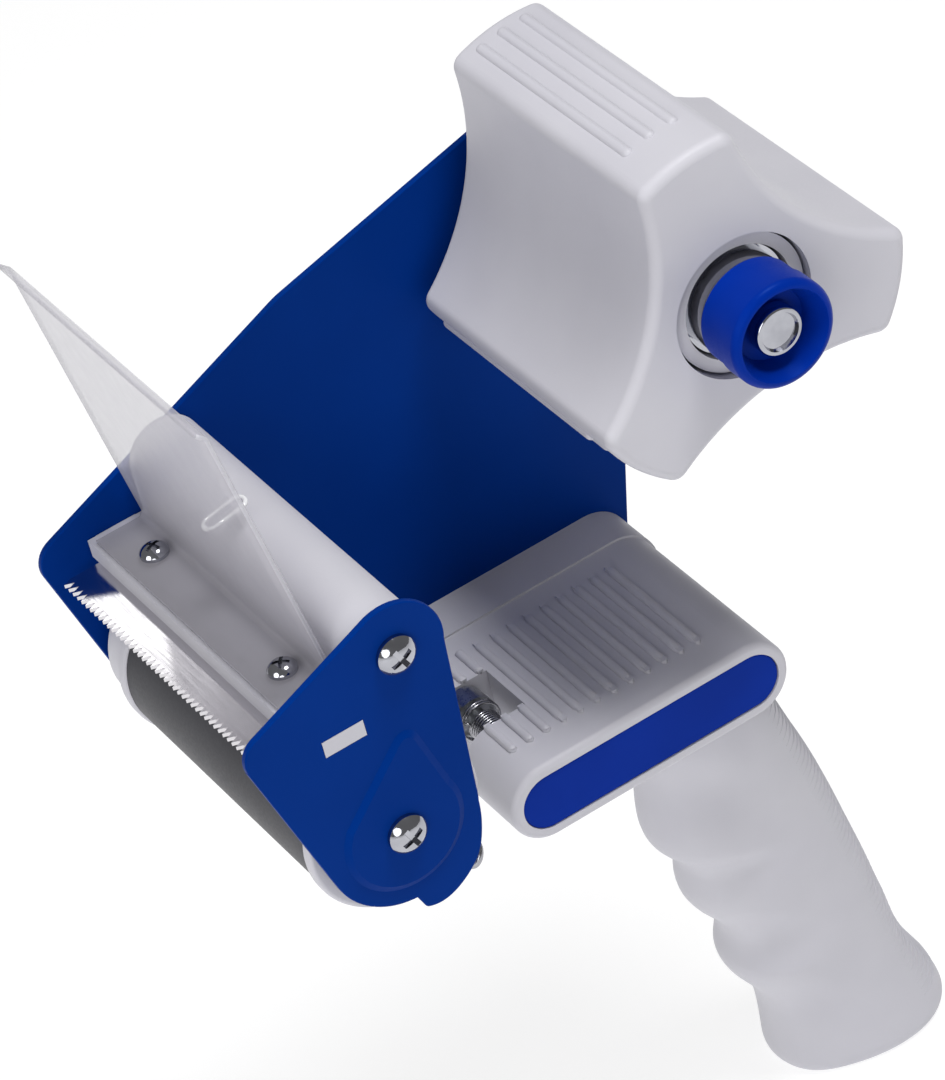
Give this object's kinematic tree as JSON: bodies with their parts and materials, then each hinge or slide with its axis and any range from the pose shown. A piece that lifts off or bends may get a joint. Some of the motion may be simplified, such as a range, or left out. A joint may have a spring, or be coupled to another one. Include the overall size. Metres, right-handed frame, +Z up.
{
  "type": "tape gun dispenser",
  "caption": "Hand-held packing tape gun: pistol grip, lobed core hub with a drag knob, free roller, toothed cutter, clear wiper flap and sprung tape retainer.",
  "frame": {"origin": "on the tape axle's axis, at the inner face of the main side plate", "axes": "+X to the rear of the tool, +Z up from the grip to the hub, -Y to the open side the tape goes on from"},
  "size_m": [0.1648, 0.104, 0.2602],
  "materials": {
    "blue_steel": "powder coated, satin",
    "blue_plastic": "moulded, semi-gloss",
    "grey_plastic": "moulded, fine matt",
    "white_plastic": "moulded nylon",
    "roller_grey": "smooth, satin",
    "clear_plastic": "clear sheet",
    "blade_steel": "polished strip",
    "zinc_steel": "zinc plated",
    "spring_steel": "bright drawn wire",
    "chrome": "bright plated"
  },
  "bodies": {
    "frame": {"side_plate": "blue_steel", "front_side_plate": "blue_steel", "hub_axle": "zinc_steel", "axle_lock_washer": "zinc_steel", "axle_nut": "zinc_steel", "friction_washer": "zinc_steel", "brake_spring": "spring_steel", "knob_bolt": "chrome", "upper_shaft": "zinc_steel", "roller_shaft": "zinc_steel", "shaft_screws": "chrome", "roller_washers": "white_plastic", "tape_guide": "grey_plastic", "cutter_blade": "blade_steel", "wiper_flap": "clear_plastic", "flap_screws": "chrome", "handle_body": "grey_plastic", "handle_end_cap": "blue_plastic", "handle_screws": "chrome", "retainer_pin": "zinc_steel", "retainer_spring": "spring_steel"},
    "hub": {"tape_hub": "grey_plastic", "hub_bushes": "white_plastic"},
    "roller": {"roller_sleeve": "roller_grey", "roller_end_caps": "grey_plastic"},
    "brake_cup": {"spring_cup": "chrome"},
    "knob": {"brake_knob": "blue_plastic"},
    "retainer": {"retainer_arm": "zinc_steel", "retainer_wire": "spring_steel"}
  },
  "joints": [
    {"name": "hub_spin", "type": "hinge", "parent": "frame", "child": "hub", "pos_m": [0, 0, 0], "axis": [0, 1, 0], "continuous": true},
    {"name": "roller_spin", "type": "hinge", "parent": "frame", "child": "roller", "pos_m": [-0.1018, 0, -0.0565], "axis": [0, 1, 0], "continuous": true},
    {"name": "brake_slide", "type": "slide", "parent": "frame", "child": "brake_cup", "axis": [0, 1, 0], "range_m": [-0.00063, 0.00188], "deforming": ["brake_spring"]},
    {"name": "knob_turn", "type": "hinge", "parent": "brake_cup", "child": "knob", "pos_m": [0, 0, 0], "axis": [0, 1, 0], "range_deg": [-180, 540]},
    {"name": "retainer_swing", "type": "hinge", "parent": "frame", "child": "retainer", "pos_m": [-0.059, 0, -0.09], "axis": [0, 1, 0], "range_deg": [-14, 0], "stiffness_Nm_per_rad": 0.05, "springref_deg": 28.65}
  ],
  "couplings": [
    {"joint": "brake_slide", "follows": "knob_turn", "m_per_rad": 0.00019894}
  ]
}
